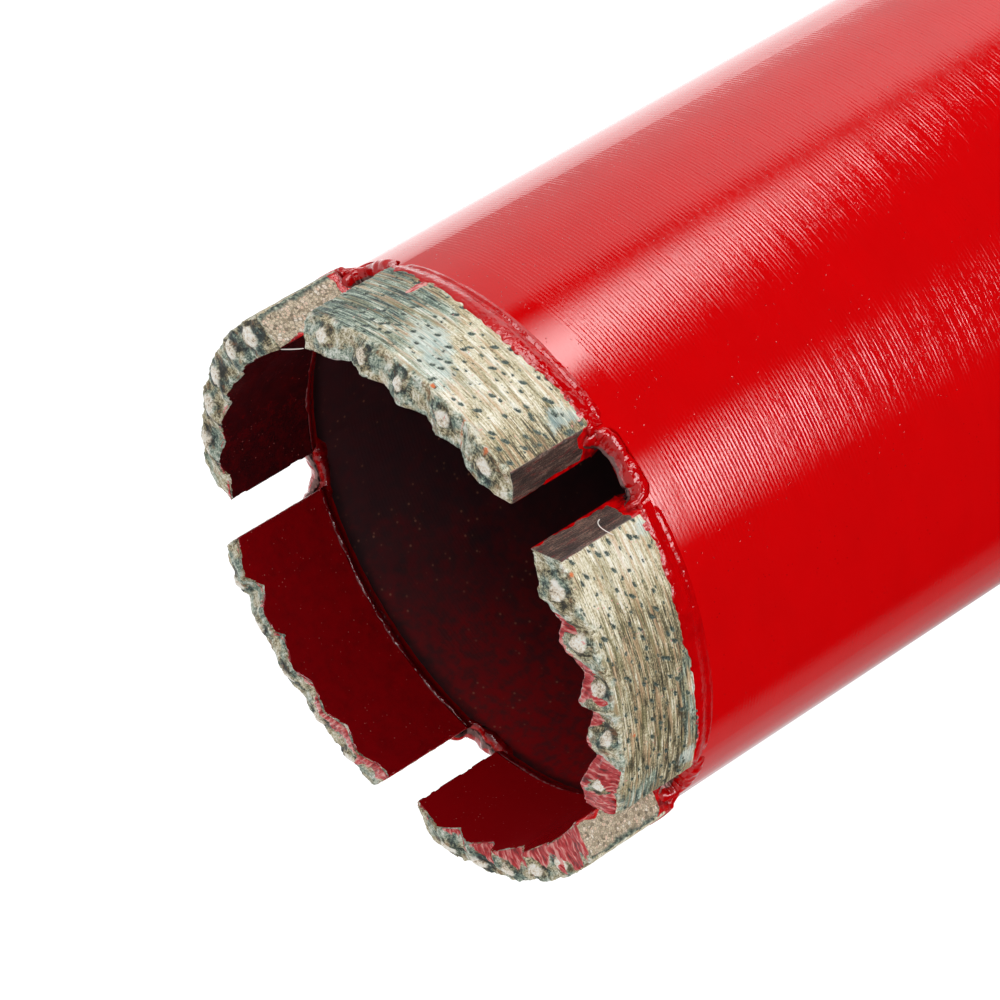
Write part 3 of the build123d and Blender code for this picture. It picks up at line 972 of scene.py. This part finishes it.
ROOM_STRENGTH = 0.72
FLOOR_ALBEDO = 0.75
FLOOR_LIFT = 0.62
FLOOR_HALF = 6.0


def floor():
    """A pale floor. The lift is seen by the camera and reflections only, and shadows stay on it."""
    mesh = bpy.data.meshes.new("floor")
    corners = [(x * FLOOR_HALF, y * FLOOR_HALF, 0) for x, y in ((-1, -1), (1, -1), (1, 1), (-1, 1))]
    mesh.from_pydata(corners, [], [(0, 1, 2, 3)])
    made = bpy.data.objects.new("floor", mesh)
    bpy.context.scene.collection.objects.link(made)
    f = Finish("pale_floor", {
        "Base Color": (FLOOR_ALBEDO, FLOOR_ALBEDO, FLOOR_ALBEDO, 1), "Roughness": 0.9,
        "Specular IOR Level": 0.0, "Emission Strength": FLOOR_LIFT})
    f.feed({"Emission Color": light_level(f, 0.0)})
    mesh.materials.append(f.material)


CARD_R = 0.42
CARD_HEIGHT = 0.6
CARD_LEVELS = [  # (azimuth in degrees from -180, brightness) of the cards that stand round the bit
    (-180, 0.0), (-19, 0.0), (-14, 0.78), (20, 0.78), (32, 0.64), (38, 0.7), (43, 1.6), (85, 1.5),
    (100, 0.75), (125, 0.4), (150, 0.2), (158, 0.0), (180, 0.0)]
# Soft boxes among the cards: where each starts and is full on its left, the same on its right, the height
# of its lower edge at its middle in metres, how much that edge rises per degree, and its brightness
SOFT_BOXES = [
    (-127, -108, -104, -87, 0.105, 0.0, 13.0),
    (-66, -44, -44, -22, 0.078, -0.003, 9.5),
]
SOFT_EDGE = 0.012  # height over which a soft box's lower edge fades
CARD_BRIGHTEST = 20.0
LEAN_TOP = 0.105  # under this height the cards' edges lean
LEAN = 40.0  # degrees for each metre
LOW_CARD_TOP = 0.11  # under this height some cards are brighter


def cards():
    """Black flags on the camera's side, white card behind and two soft boxes, for reflections alone."""
    steps = 96
    angles = [2 * math.pi * n / steps for n in range(steps)]
    ring = [(CARD_R * math.cos(a), CARD_R * math.sin(a)) for a in angles]
    points = [(x, y, z) for z in (0.001, CARD_HEIGHT) for x, y in ring] + [(0, 0, 0.001)]
    quads = [(n, (n + 1) % steps, steps + (n + 1) % steps, steps + n) for n in range(steps)]
    quads += [(n, (n + 1) % steps, 2 * steps) for n in range(steps)]
    mesh = bpy.data.meshes.new("cards")
    mesh.from_pydata(points, [], quads)
    made = bpy.data.objects.new("cards", mesh)
    bpy.context.scene.collection.objects.link(made)
    made.visible_camera = made.visible_diffuse = made.visible_shadow = False
    made.visible_transmission = False

    f = Finish("cards", {
        "Base Color": (0, 0, 0, 1), "Specular IOR Level": 0.0, "Emission Strength": CARD_BRIGHTEST})
    place = f.node("ShaderNodeTexCoord", {}, {}, "Object")
    x, y, z = (f.node("ShaderNodeSeparateXYZ", {}, {0: place}, axis) for axis in "XYZ")
    azimuth = y.maths("ARCTAN2", y, x) * math.degrees(1)
    lean = (LEAN_TOP - z).highest(0.0) * LEAN
    top = max(level for _, level in CARD_LEVELS)
    stops = [((a + 180) / 360, (level / top,) * 3 + (1,)) for a, level in CARD_LEVELS]
    shade = f.ramp((azimuth + lean) / 360 + 0.5, stops)
    level = f.node("ShaderNodeSeparateColor", {}, {0: shade}, "Red") * top
    lower = azimuth.between(-14, 15, 0.7, 0.0) + azimuth.between(36, 46, 0.45, 0.0)
    lower = lower - azimuth.between(92, 108, 0.0, 0.4)
    level = level * (1.0 + z.between(0.0, LOW_CARD_TOP, 1.0, 0.0) * lower)
    for left, left_full, right_full, right, edge, rise, brightness in SOFT_BOXES:
        low_edge = (azimuth - (left + right) / 2) * rise + edge
        above = (z - low_edge).between(-SOFT_EDGE, SOFT_EDGE)
        across = azimuth.between(left, left_full) * azimuth.between(right_full, right, 1.0, 0.0)
        level = level + across * above * brightness
    f.feed({"Emission Color": level / CARD_BRIGHTEST})
    mesh.materials.append(f.material)


def strip_light(name, azimuth, distance, low_end, high_end, width, power):
    """A soft upright strip that faces the bit."""
    lamp = bpy.data.lights.new(name, "AREA")
    lamp.shape = "RECTANGLE"
    lamp.size = width
    lamp.size_y = high_end - low_end
    lamp.energy = power
    made = bpy.data.objects.new(name, lamp)
    bpy.context.scene.collection.objects.link(made)
    angle = math.radians(azimuth)
    spot = Vector((distance * math.cos(angle), distance * math.sin(angle), (low_end + high_end) / 2))
    made.location = spot
    made.rotation_euler = (Vector((0, 0, spot.z)) - spot).to_track_quat("-Z", "Z").to_euler()
    made.visible_camera = False
    made.visible_glossy = False


def studio():
    studio_world(ROOM_STRENGTH)
    floor()
    cards()
    strip_light("key_strip", -42, 0.41, 0.095, 0.25, 0.12, 0.6)
    strip_light("front_strip", -106, 0.41, 0.115, 0.25, 0.1, 0.4)
    strip_light("fill_strip", 175, 0.6, 0.15, 0.5, 0.3, 0.8)


CAMERA_PLACE = Vector((-2.4, -334.2, 517.1)) * MM
CAMERA_LOOK = Vector((0.0140, 0.8776, -0.4792))
CAMERA_UP = Vector((0.8519, -0.2614, -0.4538))
CAMERA_LENS = 167.04
CAMERA_FRAME = 36


def camera():
    data = bpy.data.cameras.new("camera")
    data.lens = CAMERA_LENS
    data.sensor_width = CAMERA_FRAME
    made = bpy.data.objects.new("camera", data)
    bpy.context.scene.collection.objects.link(made)
    back = -CAMERA_LOOK.normalized()
    right = CAMERA_UP.cross(back).normalized()
    up = back.cross(right)
    made.matrix_world = Matrix.Translation(CAMERA_PLACE) @ Matrix((right, up, back)).transposed().to_4x4()
    bpy.context.scene.camera = made


# ---------------------------------------------------------------- the bit

def dress_nodes(bead):
    """Finishes for the CAD nodes that stay."""
    finishes = {"barrel": barrel_paint(), "hub": hub_paint(), **dict.fromkeys(SEAMS, bead)}
    for name, material in finishes.items():
        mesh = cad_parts[name].data
        mesh.materials.clear()
        mesh.materials.append(material)


def dress():
    bead = bead_paint()
    dress_nodes(bead)
    matrix = segment_finish()
    for number, name in enumerate(SEGMENTS):
        segment_piece(number, name, matrix)
        ridge_piece(number, bead)
        lip_piece(number, bead)
        inner_bead_piece(number, bead)
    lint = Finish("lint", {"Base Color": tone(232, 226, 218), "Roughness": 0.8}).material
    for number in range(len(FIBRES)):
        fibre_piece(number, lint)
    weld_piece(bead)
    thread_piece(bare_steel())


dress()
studio()
camera()
bpy.context.scene.view_settings.view_transform = "Standard"
